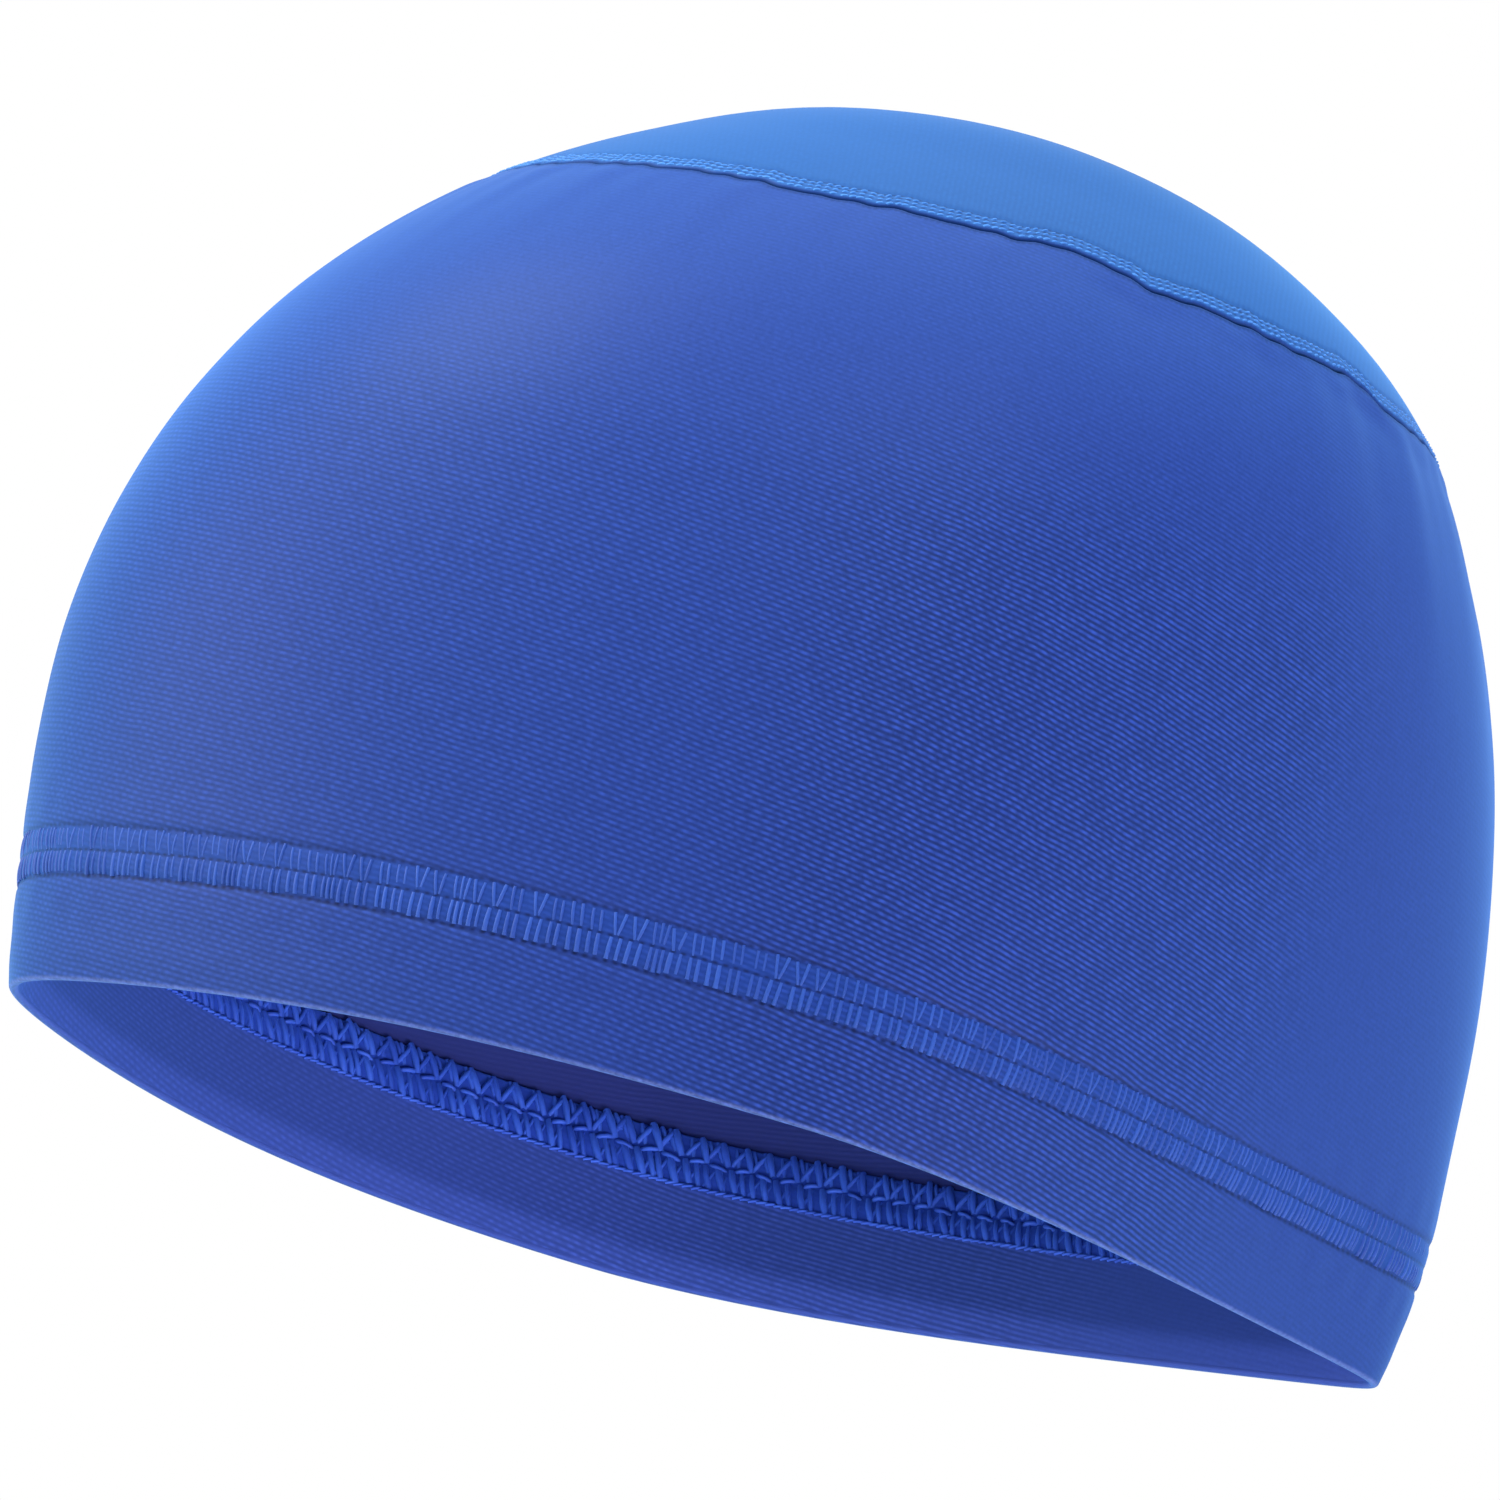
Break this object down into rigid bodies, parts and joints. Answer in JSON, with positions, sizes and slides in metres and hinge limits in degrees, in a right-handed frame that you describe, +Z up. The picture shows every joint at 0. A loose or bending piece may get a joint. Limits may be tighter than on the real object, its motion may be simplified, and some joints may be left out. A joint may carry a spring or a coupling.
{
  "type": "cooling cap",
  "caption": "Thin stretch-knit blue skull cap with an oval crown panel, a wraparound side panel and a stitched turned-up hem, open below for the head",
  "frame": {"origin": "the middle of the open rim, level with the lowest stretch of the rim at the wearer's sides, where a head holds the cap", "axes": "+Y runs to the back of the cap, -Y to the front, +X to the wearer's left and +Z up to the crown"},
  "size_m": [0.1622, 0.2077, 0.158],
  "materials": {
    "side_cloth": "satin stretch knit with fine courses along the rim",
    "crown_cloth": "smooth satin stretch knit",
    "hem_cloth": "satin stretch knit, inner face"
  },
  "bodies": {
    "root": {"side_panel": "side_cloth", "crown_panel": "crown_cloth", "hem_band": "hem_cloth"}
  },
  "joints": []
}
